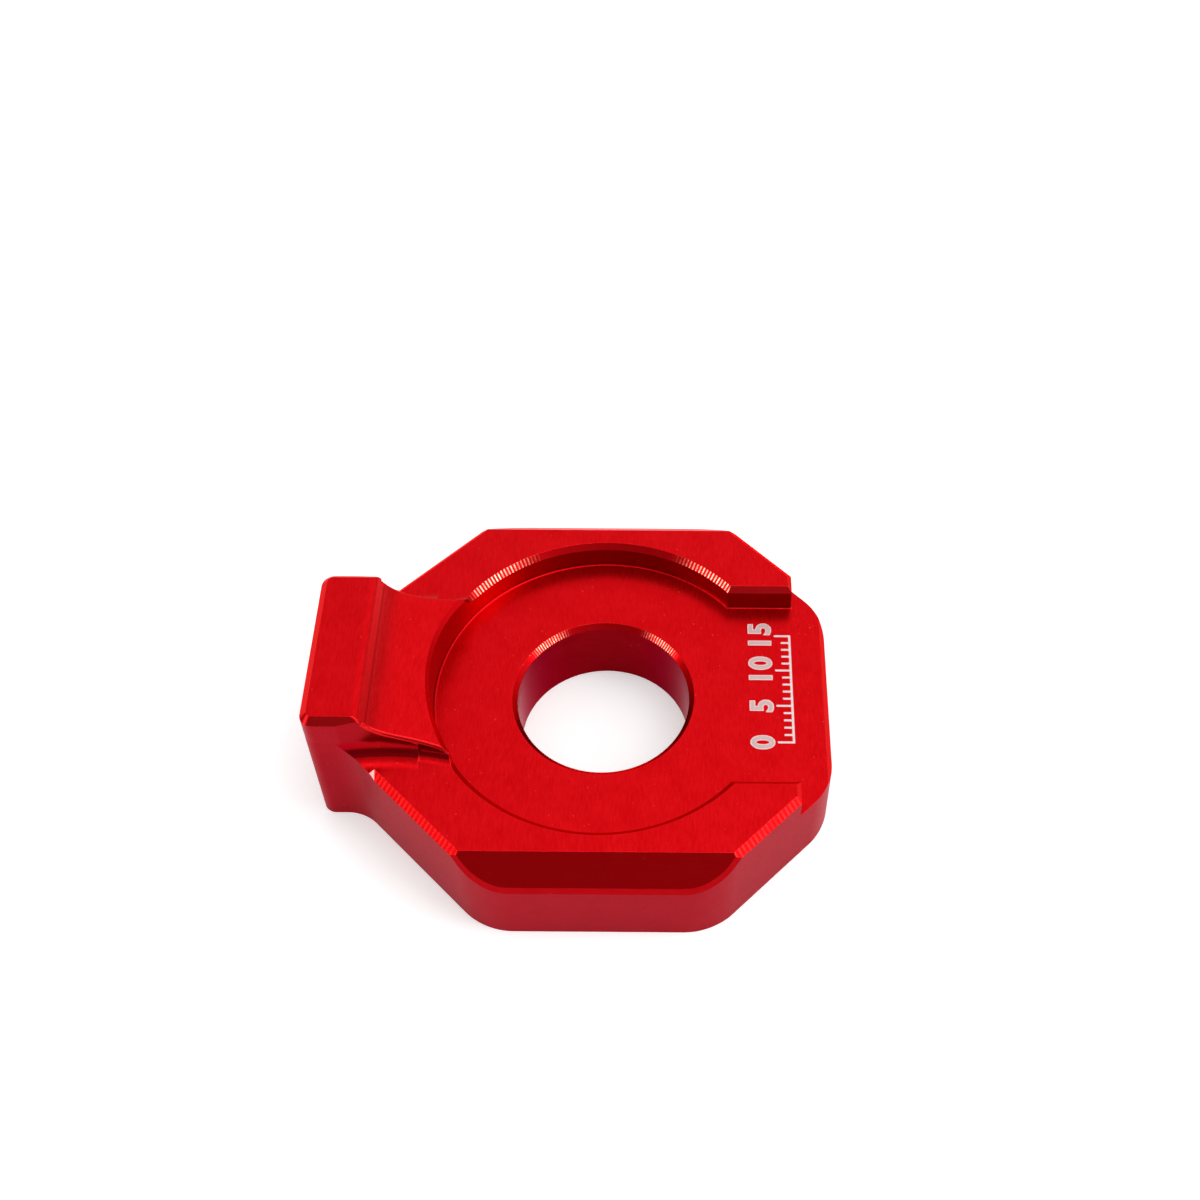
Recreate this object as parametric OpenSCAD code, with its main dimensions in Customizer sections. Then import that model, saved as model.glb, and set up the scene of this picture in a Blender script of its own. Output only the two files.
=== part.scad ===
// Rear axle adjuster block of a motorcycle swingarm, milled from one piece of aluminium.
// Z is up, the axle bore stands on the origin, and the boss points along -X.

/* [Axle bore] */
// Bore that the wheel axle passes through
bore_d = 20; // [16:0.5:24]
// Edge break round the top of the bore
bore_chamfer = 0.6; // [0.2:0.1:1.2]

/* [Plate] */
// Width across the two guide flats that slide in the swingarm
guide_w = 50.8; // [48:0.2:56]
// Length of each guide flat, from corner to corner
guide_l = 25.4; // [22:0.2:28]
// Angle of the four diagonal walls to the guide flats
diagonal_a = 45; // [42:1:48]
// Distance from the bore axis to the plain end
plain_end = 26.2; // [25:0.2:30]
// Height of the raised part of the plate
plate_h = 12.6; // [11.6:0.1:14]
// Radius of the upright corners of the plate
corner_r = 8; // [5:0.5:9]
// Width of the lead-in along each guide flat, seen from above
lead_w = 3.1; // [2:0.1:3.5]
// Height of the same lead-in on the guide flat
lead_h = 3.3; // [2:0.1:4]
// Edge break along the diagonal walls
diagonal_chamfer = 0.75; // [0.3:0.05:1]

/* [Washer seat] */
// Diameter of the round seat
seat_d = 39.3; // [36:0.1:40]
// Height of the seat's floor above the bottom
seat_z = 9.2; // [8:0.1:10.4]
// Width of the open slot that leads from the seat to the plain end
slot_w = 26.2; // [24:0.2:30]
// Distance from the bore axis to where the raised part stops
step_x = 22.3; // [20.6:0.1:23]
// Edge break round the seat and along the slot
seat_chamfer = 0.65; // [0.3:0.05:0.9]
// Edge break along the end of the raised part
step_chamfer = 0.5; // [0.3:0.05:0.8]
// Edge break along the plain end
end_chamfer = 0.6; // [0.3:0.05:1]

/* [Boss] */
// Distance from the bore axis to the face that the adjuster bolt pushes on
boss_end = 32.6; // [31.8:0.1:36]
// Width of the boss
boss_w = 20.8; // [19:0.2:22]
// Height of the boss
boss_h = 19.05; // [18.4:0.05:21]
// Length of the flat on top of the boss
boss_top_l = 5.6; // [4.6:0.1:6]
// Edge break round the top of the boss
boss_chamfer = 0.8; // [0.4:0.05:1.2]
// Radius of the two upright corners of the boss
boss_r = 1.5; // [0.5:0.1:2.5]
// Radius in the corner between boss and plate, seen from above
root_r = 5; // [3:0.5:6]

/* [Ridge] */
// Width of the ridge at its waist
waist_w = 19.8; // [18.6:0.1:20.2]
// Distance from the bore axis to the waist
waist_x = 23.1; // [22.6:0.1:24]
// Radius of the waist, seen from above
waist_r = 30; // [24:1:40]
// Fillet between the ridge's sides and the plate
foot_r = 2.4; // [1.5:0.1:2.8]
// Rounding where the boss's top turns down
shoulder_r = 1.2; // [0.6:0.1:1.6]
// Steepest angle of the ridge, below the boss
drop_a = 54; // [48:1:58]
// Radius of the hollow in the ridge
hollow_r = 7; // [5:0.5:8]
// Angle of the ramp that runs from the hollow to the seat
ramp_a = 16; // [12:1:20]
// Height of the ramp above the plate, where it meets the seat
ramp_h = 2.1; // [1.8:0.1:2.6]
// Edge break of the ramp at the seat
ramp_chamfer = 0.4; // [0.2:0.05:0.6]
// Distance from the bore axis to where the ridge's sides turn steeper
relief_x = 20; // [19.9:0.1:20.6]
// Fillet between those steeper sides and the plate
relief_r = 1.4; // [0.8:0.1:1.8]

/* [Hidden] */
$fn = 96;

// Overlap of the cutting shapes beyond the metal
cut = 1;
// Room above and beside the metal that the cutting shapes reach
reach = 80;
// How far a rounding passes the sides it joins, so that the two cross cleanly
touch = 0.001;
// Corners of the plate and of the boss
guide_y = guide_w / 2;
guide_x = guide_l / 2;
boss_y = boss_w / 2;
end_y = guide_y - (plain_end - guide_x) * tan(diagonal_a);
root_x = guide_x + (guide_y - boss_y) / tan(diagonal_a);
seat_r = seat_d / 2;
// Where the boss's top ends, and where its shoulder ends
shoulder_x = -boss_end + boss_top_l;
drop = [shoulder_x + shoulder_r * sin(drop_a), boss_h - shoulder_r * (1 - cos(drop_a))];
// Where the ramp meets the seat
ramp = [-seat_r, plate_h + ramp_h];
// Where the line of the drop would meet the line of the ramp, and the hollow's centre
knee_x = (drop[1] - ramp[1] + drop[0] * tan(drop_a) - ramp[0] * tan(ramp_a))
    / (tan(drop_a) - tan(ramp_a));
knee = [knee_x, ramp[1] - (knee_x - ramp[0]) * tan(ramp_a)];
hollow_t = hollow_r * tan((drop_a - ramp_a) / 2);
hollow_in = knee + hollow_t * [-cos(drop_a), sin(drop_a)];
hollow_out = knee + hollow_t * [cos(ramp_a), -sin(ramp_a)];
hollow = hollow_out + hollow_r * [sin(ramp_a), cos(ramp_a)];

function unit(v) = v / norm(v);

// Half of the angle inside the corner at b
function half_angle(a, b, c) = acos(unit(a - b) * unit(c - b)) / 2;

// Where a rounding of radius r at corner b leaves the side towards a
function tangent(a, b, c, r) = b + unit(a - b) * r / tan(half_angle(a, b, c));

// Centre of a rounding of radius r at corner b
function centre(a, b, c, r) =
    b + unit(unit(a - b) + unit(c - b)) * (r / sin(half_angle(a, b, c)) - touch);

// A conical cutter that breaks the rim of a round hollow of radius r, whose rim is at height z
module rim_break(r, c, z) {
    translate([0, 0, z - c - cut])
        cylinder(h = c + 2 * cut, r1 = r - cut, r2 = r + c + cut);
}

// What a rounding of radius r takes off an outside corner at b
module tip(a, b, c, r) {
    middle = centre(a, b, c, r);
    difference() {
        polygon([tangent(a, b, c, r), b + cut * unit(b - middle), tangent(c, b, a, r)]);
        translate(middle)
            circle(r);
    }
}

module both_sides() {
    children();
    mirror([0, 1, 0])
        children();
}

// The outline from above: the front half's corners with their radii, mirrored to the back
module outline() {
    side = [
        [[plain_end, -end_y], corner_r],
        [[guide_x, -guide_y], corner_r],
        [[-guide_x, -guide_y], corner_r],
        [[-root_x, -boss_y], -root_r],
        [[-boss_end, -boss_y], boss_r]
    ];
    back = [for (i = [len(side) - 1 : -1 : 0]) [[side[i][0][0], -side[i][0][1]], side[i][1]]];
    corners = concat(side, back);
    n = len(corners);
    difference() {
        // A radius below zero marks an inside corner: it starts as a slope and is hollowed out
        polygon([
            for (i = [0 : n - 1])
                let (a = corners[(i + n - 1) % n][0], b = corners[i][0], c = corners[(i + 1) % n][0], r = corners[i][1])
                    each r < 0 ? [tangent(a, b, c, -r), tangent(c, b, a, -r)] : [b]
        ]);
        for (i = [0 : n - 1]) {
            a = corners[(i + n - 1) % n][0];
            b = corners[i][0];
            c = corners[(i + 1) % n][0];
            r = corners[i][1];
            if (r > 0)
                tip(a, b, c, r);
            else
                translate(centre(a, b, c, -r))
                    circle(-r);
        }
    }
}

// A triangular cutter that breaks an edge along X: w inwards, h downwards, metal on the +Y side
module edge_break(length, w, h) {
    slope = h / w;
    rotate([90, 0, 90])
        linear_extrude(length)
            polygon([[-cut, -h - cut * slope], [w + cut, cut * slope], [-cut, cut * slope]]);
}

// Half section of a cutter of radius r whose lower edge is rounded
module cutter_section(r, nose) {
    square([r - nose, reach]);
    translate([0, nose])
        square([r, reach]);
    translate([r - nose, nose])
        circle(nose);
}

// What is milled away in front of the boss and ridge, with a fillet at the foot
module ridge_side() {
    // Straight pass along the boss
    translate([-boss_end - cut, -boss_y - reach, plate_h])
        rotate([90, 0, 90])
            linear_extrude(boss_end + cut - waist_x)
                cutter_section(reach, foot_r);
    // Curved pass that leaves the waist, then the steeper pass next to the seat
    translate([-waist_x, -waist_w / 2 - waist_r, plate_h]) {
        rotate_extrude()
            cutter_section(waist_r, foot_r);
        intersection() {
            rotate_extrude()
                cutter_section(waist_r, relief_r);
            translate([waist_x - relief_x, -reach, -cut])
                cube([reach, 2 * reach, reach]);
        }
    }
}

// What is milled away above the ridge, seen along Y
module ridge_profile() {
    top = boss_h + cut;
    difference() {
        polygon([[shoulder_x, boss_h], drop, [drop[0], top], [shoulder_x, top]]);
        translate([shoulder_x, boss_h - shoulder_r])
            circle(shoulder_r);
    }
    polygon([drop, hollow_in, hollow_out, [hollow_out[0], top], [drop[0], top]]);
    intersection() {
        translate(hollow)
            circle(hollow_r);
        translate([hollow_in[0], 0])
            square([hollow_out[0] - hollow_in[0], top]);
    }
    polygon([
        hollow_out,
        [cut, ramp[1] - (cut - ramp[0]) * tan(ramp_a)],
        [cut, top],
        [hollow_out[0], top]
    ]);
}

// The metal above the plate's level that becomes boss and ridge
module ridge() {
    difference() {
        translate([-boss_end, -guide_y, plate_h - cut])
            cube([boss_end, guide_w, boss_h - plate_h + cut]);
        both_sides()
            ridge_side();
        translate([0, guide_w, 0])
            rotate([90, 0, 0])
                linear_extrude(2 * guide_w)
                    ridge_profile();
    }
}

module body() {
    intersection() {
        linear_extrude(boss_h)
            outline();
        union() {
            translate([-boss_end - cut, -guide_w, 0])
                cube([reach, 2 * guide_w, plate_h]);
            ridge();
        }
    }
}

// Round seat, slot to the plain end, and the low shelf across the whole end
module seat_cut() {
    translate([0, 0, seat_z])
        cylinder(h = reach, d = seat_d);
    translate([0, -slot_w / 2, seat_z])
        cube([reach, slot_w, reach]);
    translate([step_x, -guide_w, seat_z])
        cube([reach, 2 * guide_w, reach]);
}

// Edge breaks round the seat: level on the plate, tilted where the ramp meets it
module seat_chamfers() {
    foot_y = waist_w / 2 + relief_r;
    difference() {
        rim_break(seat_r, seat_chamfer, plate_h);
        translate([-reach, -foot_y, 0])
            cube([reach, 2 * foot_y, reach]);
        translate([-reach, -guide_w, plate_h])
            cube([reach, 2 * guide_w, reach]);
    }
    both_sides()
        translate([0, -slot_w / 2, plate_h])
            mirror([0, 1, 0])
                edge_break(step_x + cut, seat_chamfer, seat_chamfer);
    // The seat's wall cuts the tilted ramp in an oval; this circle fits the oval's end
    near = seat_r * cos(ramp_a);
    intersection() {
        translate([ramp[0], 0, ramp[1]])
            rotate([0, ramp_a, 0])
                translate([near, 0, 0])
                    rim_break(near, ramp_chamfer, 0);
        translate([-reach, -foot_y, plate_h])
            cube([reach, 2 * foot_y, reach]);
    }
}

module plate_chamfers() {
    both_sides() {
        translate([-reach / 2, -guide_y, plate_h])
            edge_break(reach, lead_w, lead_h);
        // Diagonals: one towards the plain end, one towards the boss
        translate([guide_x, -guide_y, plate_h])
            rotate([0, 0, diagonal_a])
                translate([-corner_r, 0, 0])
                    edge_break(reach, diagonal_chamfer, diagonal_chamfer);
        translate([-root_x, -boss_y, plate_h])
            rotate([0, 0, -diagonal_a])
                translate([foot_r / sin(diagonal_a), 0, 0])
                    edge_break(reach / 2, diagonal_chamfer, diagonal_chamfer);
    }
    translate([step_x, -guide_w, plate_h])
        rotate([0, 0, 90])
            edge_break(2 * guide_w, step_chamfer, step_chamfer);
    translate([plain_end, -guide_w, seat_z])
        rotate([0, 0, 90])
            edge_break(2 * guide_w, end_chamfer, end_chamfer);
}

module boss_chamfers() {
    both_sides()
        translate([-boss_end - cut, -boss_y, boss_h])
            edge_break(boss_end, boss_chamfer, boss_chamfer);
    translate([-boss_end, boss_w, boss_h])
        rotate([0, 0, -90])
            edge_break(2 * boss_w, boss_chamfer, boss_chamfer);
}

module bore_cut() {
    translate([0, 0, -cut])
        cylinder(h = reach, d = bore_d);
    rim_break(bore_d / 2, bore_chamfer, seat_z);
}

module axle_block() {
    color("crimson")
        difference() {
            body();
            seat_cut();
            seat_chamfers();
            plate_chamfers();
            boss_chamfers();
            bore_cut();
        }
}

axle_block();
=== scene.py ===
"""Looks of a motorcycle's axle adjuster block, milled from one piece of aluminium and anodised red."""

import math
import types

import bmesh
import bpy
from mathutils import Matrix, Vector


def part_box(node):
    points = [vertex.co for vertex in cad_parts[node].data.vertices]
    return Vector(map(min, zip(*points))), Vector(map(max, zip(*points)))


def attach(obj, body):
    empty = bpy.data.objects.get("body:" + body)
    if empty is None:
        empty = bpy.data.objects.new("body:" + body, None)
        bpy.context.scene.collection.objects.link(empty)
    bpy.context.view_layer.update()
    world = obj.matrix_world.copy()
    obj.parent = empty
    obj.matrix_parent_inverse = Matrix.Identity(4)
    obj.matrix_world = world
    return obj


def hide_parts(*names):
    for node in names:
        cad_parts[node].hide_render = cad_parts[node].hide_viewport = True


bl_info = {
    "name": "Axle adjuster block",
    "version": (1, 0, 0),
    "blender": (4, 5, 0),
    "location": "3D View > Sidebar > Axle block",
    "description": "Mills an axle adjuster block from bar, anodises it and sets it in a pale studio",
    "category": "Object",
}

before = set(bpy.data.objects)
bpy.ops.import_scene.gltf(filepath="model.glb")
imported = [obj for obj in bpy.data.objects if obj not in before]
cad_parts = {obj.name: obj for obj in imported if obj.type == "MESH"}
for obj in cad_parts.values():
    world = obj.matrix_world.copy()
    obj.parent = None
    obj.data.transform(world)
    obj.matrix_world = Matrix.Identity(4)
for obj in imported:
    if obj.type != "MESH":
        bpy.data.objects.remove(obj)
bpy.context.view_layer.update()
LOW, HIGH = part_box("axle_block")

# How far a cutter stands out past the metal that it takes off, and how far the large cutters reach
CUT = 0.001
REACH = 0.040
# Sides of a full circle, of a rounded edge, of a fillet on the seat's floor, and of the ridge's edge break
ROUND = 256
EDGE_STEPS = 10
FILLET_STEPS = 4
BREAK_STEPS = 5
# How far the walls turn where a diagonal meets a flat, and where two sides meet squarely
DIAGONAL, SQUARE = math.radians(45), math.radians(90)
# The front and the back of the block
SIDES = (-1, 1)
# Each fifth tick of the scale is long and has a number
NUMBERED = 5
# The finishes are worked out in millimetres
MM = 1000.0


def length(name, description, default):
    """A property that holds a length."""
    return bpy.props.FloatProperty(
        name=name, description=description, default=default, min=0.0, precision=5, unit="LENGTH"
    )


def angle(name, description, degrees):
    """A property that holds an angle."""
    return bpy.props.FloatProperty(
        name=name, description=description, default=math.radians(degrees), subtype="ANGLE"
    )


def factor(name, description, default):
    """A property that holds a share from 0 to 1."""
    return bpy.props.FloatProperty(
        name=name, description=description, default=default, min=0.0, max=1.0, subtype="FACTOR"
    )


def colour(name, description, default):
    """A property that holds a colour."""
    return bpy.props.FloatVectorProperty(
        name=name, description=description, default=default, min=0.0, max=1.0, size=3, subtype="COLOR"
    )


def power(name, description, default):
    """A property that holds a lamp's power."""
    return bpy.props.FloatProperty(
        name=name, description=description, default=default, min=0.0, unit="POWER"
    )


class BlockSizes(bpy.types.PropertyGroup):
    """Sizes of the milled block."""

    bore_d: length("Bore", "Diameter of the bore that the wheel axle passes through", 0.020)
    bore_chamfer: length("Bore edge", "Edge break round the top of the bore", 0.0006)
    guide_w: length("Guide width", "Width across the two guide flats", HIGH.y - LOW.y)
    guide_l: length("Guide length", "Length of each guide flat", 0.0254)
    plain_end: length("Plain end", "Distance from the bore axis to the plain end", HIGH.x)
    plate_h: length("Plate height", "Height of the raised part of the plate", 0.0126)
    corner_r: length("Corner radius", "Radius of the upright corners of the plate", 0.008)
    lead_w: length("Lead-in width", "Width of the lead-in along each guide flat", 0.0031)
    lead_h: length("Lead-in height", "Height of the lead-in on the guide flat", 0.0033)
    lead_edge: length("Lead-in edge", "Edge break below the lead-in, to each side", 0.00045)
    diagonal_edge: length("Diagonal edge", "Edge break along the diagonal walls", 0.00075)
    seat_d: length("Seat", "Diameter of the round washer seat", 0.0393)
    seat_z: length("Seat height", "Height of the seat's floor above the bottom", 0.0092)
    seat_edge: length("Seat edge", "Edge break round the seat and along the slot", 0.00065)
    ramp_edge: length("Ramp edge", "Edge break of the ramp at the seat", 0.0003)
    seat_fillet: length("Seat fillet", "Fillet in the corner between the seat's floor and wall", 0.0003)
    slot_w: length("Slot width", "Width of the slot that leads from the seat to the plain end", 0.0262)
    step_x: length("Step", "Distance from the bore axis to where the raised part stops", 0.0223)
    step_edge: length("Step edge", "Edge break along the end of the raised part", 0.0005)
    end_edge: length("End edge", "Edge break along the plain end", 0.0006)
    boss_end: length("Boss end", "Distance from the bore axis to the end of the boss", -LOW.x)
    boss_w: length("Boss width", "Width of the boss", 0.0208)
    boss_h: length("Boss height", "Height of the boss", HIGH.z)
    boss_top_l: length("Boss top", "Length of the flat on top of the boss", 0.0056)
    boss_edge: length("Boss edge", "Edge break round the top of the boss", 0.0008)
    boss_r: length("Boss corner", "Radius of the upright corners of the boss", 0.0015)
    root_r: length("Root radius", "Radius in the corner between boss and plate", 0.005)
    waist_w: length("Waist width", "Width of the ridge at its waist", 0.0198)
    waist_x: length("Waist place", "Distance from the bore axis to the waist", 0.0231)
    waist_r: length("Waist radius", "Radius of the waist, seen from above", 0.030)
    foot_r: length("Foot fillet", "Fillet between the ridge's sides and the plate", 0.0024)
    relief_x: length("Relief place", "Distance from the bore axis to where the foot fillet tightens", 0.020)
    relief_r: length("Relief fillet", "The tighter foot fillet beside the seat", 0.0014)
    shoulder_r: length("Shoulder", "Rounding where the boss's top turns down", 0.0012)
    drop_a: angle("Drop", "Steepest angle of the ridge, below the boss", 54)
    hollow_r: length("Hollow", "Radius of the hollow in the ridge", 0.007)
    ramp_a: angle("Ramp", "Angle of the ramp that runs from the hollow to the seat", 16)
    ramp_h: length("Ramp height", "Height of the ramp above the plate, where it meets the seat", 0.0021)
    ridge_edge: length("Ridge edge", "Radius of the edge break along the two sides of the ridge", 0.0004)


class ScaleSizes(bpy.types.PropertyGroup):
    """The plain graduated scale that is marked on the floor beside the bore."""

    foot_x: length("Foot", "Distance from the bore axis to the scale's line", 0.0221)
    start_y: bpy.props.FloatProperty(
        name="Start",
        description="Where the scale starts, seen across the block",
        default=-0.0062,
        precision=5,
        unit="LENGTH",
    )
    pitch: length("Pitch", "Distance from tick to tick", 0.001)
    count: bpy.props.IntProperty(
        name="Steps", description="Number of steps from tick to tick", default=15, min=NUMBERED
    )
    short_tick: length("Short tick", "Length of a short tick", 0.0009)
    long_tick: length("Long tick", "Length of each fifth tick", 0.0017)
    line: length("Line", "Width of line and ticks", 0.00026)
    gap: length("Gap", "Gap between a long tick and its number", 0.0005)
    digit_size: length("Digit size", "Type size of the numbers", 0.0036)
    digit_weight: length("Digit weight", "How much the strokes of the numbers are thickened", 0.00006)
    outline: length("Outline", "Width of the pale outline round the numbers", 0.00011)
    depth: length("Depth", "How far the mark stands above and below the floor's surface", 0.000008)


class Finish(bpy.types.PropertyGroup):
    """Colours and sheen of the anodised block, with the painted shade of its walls, sides and bore and the
    painted highlights of its chatter and run-outs.
    """

    red: colour("Red", "Colour of the dyed oxide on the milled faces", (0.64, 0.0022, 0.0045))
    tint: colour("Tint", "Tint of the reflection at the edge of the smooth faces", (1.0, 0.12, 0.12))
    # Painted shade: the upright walls get a red about half as bright as the tops
    wall_red: colour("Wall red", "Colour of the matte outer walls", (0.335, 0.0011, 0.0064))
    wall_tint: colour("Wall tint", "Tint of the reflection at the edge of the walls", (1.0, 0.66, 0.70))
    # Painted shade: the bore's wall gets a much darker red, as shade in the recess
    bore_red: colour("Bore red", "Colour of the smooth wall of the bore", (0.22, 0.0006, 0.0018))
    bore_tint: colour("Bore tint", "Tint of the reflection at the edge of the bore", (1.0, 0.50, 0.57))
    # Painted shade: the steep faces of the cuts get this darker copy of the red
    side_red: colour("Side red", "Colour where a cutter's side left the metal dark", (0.35, 0.001, 0.003))
    # Painted highlight: a pale colour that stands in for a lamp's glint on the run-out facets
    bright_red: colour("Bright red", "Colour where an edge break runs out", (0.90, 0.24, 0.22))
    # Painted highlights: the crest colours stand in for the side lamps' glints on the chatter
    edge_crest: colour("Edge crests", "Colour of the chatter's crests along a diagonal", (1.0, 0.02, 0.015))
    rim_crest: colour("Rim crests", "Colour of the chatter's crests round a rim", (1.0, 0.62, 0.42))
    worn: colour("Worn", "Colour of worn edges", (0.86, 0.08, 0.08))
    dust: colour("Dust", "Colour of the faint specks of dust", (0.75, 0.35, 0.35))
    etch: colour("Etch", "Colour of the laser-marked scale", (0.60, 0.55, 0.54))
    etch_edge: colour("Etch edge", "Colour of the scale's lines and outlines", (0.93, 0.90, 0.89))
    etch_gap: colour("Etch gap", "Colour between two lines of the laser", (0.50, 0.20, 0.20))
    milled: factor("Milled roughness", "Roughness of the milled faces", 0.30)
    matte: factor("Matte roughness", "Roughness of the outer walls", 0.42)
    fine: factor("Fine roughness", "Roughness of edge breaks and bore", 0.24)
    crease_x: length("Crease", "Distance from the bore axis to the line where two passes meet", 0.02545)
    pass_z: length("Second pass", "Height from which the boss's walls are smoother", 0.0151)


class Studio(bpy.types.PropertyGroup):
    """Camera, floor and light."""

    lens: bpy.props.FloatProperty(name="Lens", description="Focal length", default=50.30, unit="CAMERA")
    place: bpy.props.FloatVectorProperty(
        name="Camera place",
        description="Where the camera stands",
        default=(0.007911, -0.109836, 0.171353),
        precision=5,
        subtype="TRANSLATION",
    )
    pitch: angle("Pitch", "How far the camera looks down", 51.504)
    yaw: angle("Yaw", "How far the camera is turned to the right", -0.042)
    roll: angle("Roll", "How far the camera leans", 0.379)
    shift: bpy.props.FloatVectorProperty(
        name="Shift", description="Shift of the lens, sideways and up", default=(-0.0595, -0.0267), size=2
    )
    floor_size: length("Floor", "Width of the floor", 6.0)
    lamp_distance: length("Lamp distance", "Distance from the bore to each lamp", 0.5)
    side_power: power("Side power", "Power of each side lamp", 0.50)
    top_power: power("Top power", "Power of the lamp above", 0.90)


def deselect():
    """Leaves edit mode and deselects everything, so that an operator meets only what comes next."""
    if bpy.context.object and bpy.context.object.mode != "OBJECT":
        bpy.ops.object.mode_set(mode="OBJECT")
    bpy.ops.object.select_all(action="DESELECT")


def take(piece):
    """Makes a piece the only selected one and the active one."""
    deselect()
    piece.select_set(True)
    bpy.context.view_layer.objects.active = piece


def edit_all():
    """Goes into edit mode with all of the active piece selected."""
    bpy.ops.object.mode_set(mode="EDIT")
    bpy.ops.mesh.select_all(action="SELECT")


def face_outwards():
    """Turns every face of the edited piece outwards, and leaves edit mode."""
    bpy.ops.mesh.select_all(action="SELECT")
    bpy.ops.mesh.normals_make_consistent(inside=False)
    bpy.ops.object.mode_set(mode="OBJECT")


def named(name):
    """Names the piece that was just added, and puts its place into its mesh."""
    piece = bpy.context.object
    piece.name = piece.data.name = name
    bpy.ops.object.transform_apply(location=True, rotation=True, scale=True)
    return piece


def add_bar(name, low, high):
    """Adds a rectangular bar between two corners."""
    deselect()
    low, high = Vector(low), Vector(high)
    bpy.ops.mesh.primitive_cube_add(size=1, location=(low + high) / 2, scale=high - low)
    return named(name)


def add_round(name, radius, bottom, top, top_radius=None, centre=(0, 0)):
    """Adds an upright cylinder, or a cone where it has a second radius."""
    deselect()
    bpy.ops.mesh.primitive_cone_add(
        vertices=ROUND,
        radius1=radius,
        radius2=radius if top_radius is None else top_radius,
        depth=top - bottom,
        location=(*centre, (bottom + top) / 2),
    )
    return named(name)


def add_prism(name, corners, along):
    """Adds a flat face through the corners and extrudes it."""
    deselect()
    bpy.ops.mesh.primitive_circle_add(vertices=len(corners), fill_type="NGON")
    piece = named(name)
    for vertex, corner in zip(piece.data.vertices, corners):
        vertex.co = corner
    edit_all()
    bpy.ops.mesh.extrude_region_move(TRANSFORM_OT_translate={"value": along})
    face_outwards()
    return piece


def add_loft(name, sections):
    """Joins closed sections of the same number of corners, one after another, and closes both ends."""
    deselect()
    rows, columns = len(sections), len(sections[0]) + 1
    bpy.ops.mesh.primitive_grid_add(x_subdivisions=columns - 1, y_subdivisions=rows - 1)
    piece = named(name)
    corners = [corner for section in sections for corner in (*section, section[0])]
    for vertex, corner in zip(piece.data.vertices, corners):
        vertex.co = corner
    edit_all()
    bpy.ops.mesh.remove_doubles(threshold=1e-7)
    bpy.ops.mesh.select_all(action="SELECT")
    bpy.ops.mesh.fill_holes(sides=0)
    face_outwards()
    return piece


def near(a, b):
    """Whether two lengths are the same to within a micrometre."""
    return abs(a - b) < 1e-6


def lies_at(x=None, y=None, z=None):
    """A test for edges with both ends at x, at y in front or behind, and at z, where these are given."""
    place = (x, y, z)

    def wanted(edge):
        return all(
            given is None or near(found, given)
            for end in edge.verts
            for found, given in zip((end.co.x, abs(end.co.y), end.co.z), place)
        )

    return wanted


def is_level(edge):
    """Whether both ends of an edge are at the same height."""
    return near(edge.verts[0].co.z, edge.verts[1].co.z)


def is_upright_at(x, y):
    """A test for the upright edges at x, and at y in front or behind."""
    there = lies_at(x=x, y=y)
    return lambda edge: there(edge) and not is_level(edge)


def select_edges(piece, wanted):
    """Goes into edit mode and selects the edges that pass a test."""
    take(piece)
    bpy.ops.object.mode_set(mode="EDIT")
    bpy.ops.mesh.select_mode(type="EDGE")
    bpy.ops.mesh.select_all(action="DESELECT")
    mesh = bmesh.from_edit_mesh(piece.data)
    found = [edge for edge in mesh.edges if wanted(edge)]
    if not found:
        raise RuntimeError(f"{piece.name} has no such edge")
    for edge in found:
        edge.select_set(True)
    bmesh.update_edit_mesh(piece.data)


def round_edges(piece, wanted, radius, turn, steps=EDGE_STEPS):
    """Rounds edges to a radius, where the two sides turn by a given angle at the edge."""
    select_edges(piece, wanted)
    # This profile puts the middle of the bevel on the arc, whatever the angle is
    middle = 1 - 1 / (2 * (1 + math.cos(turn / 2)))
    bpy.ops.mesh.bevel(
        offset=radius * math.tan(turn / 2),
        offset_type="OFFSET",
        segments=steps,
        profile=middle**2,
        affect="EDGES",
    )
    bpy.ops.object.mode_set(mode="OBJECT")


def break_edges(piece, wanted, width, slot=-1):
    """Bevels edges by the same width on both sides, in the finish of a slot if one is given."""
    select_edges(piece, wanted)
    bpy.ops.mesh.bevel(
        offset=width, offset_type="OFFSET", segments=1, profile=0.5, affect="EDGES", material=slot
    )
    bpy.ops.object.mode_set(mode="OBJECT")


def cut_away(piece, finish, *cutters):
    """Mills the cutters out of the piece, one after another, and leaves their finish on it."""
    for cutter in cutters:
        cutter.data.materials.append(finish)
        take(piece)
        bpy.ops.object.modifier_add(type="BOOLEAN")
        step = piece.modifiers[-1]
        step.operation, step.solver, step.material_mode = "DIFFERENCE", "EXACT", "TRANSFER"
        step.object = cutter
        bpy.ops.object.modifier_apply(modifier=step.name)
        bpy.data.objects.remove(cutter, do_unlink=True)


def root_place(sizes):
    """Distance from the bore axis to where the left diagonals end at the boss."""
    return sizes.guide_l / 2 + sizes.guide_w / 2 - sizes.boss_w / 2


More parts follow.
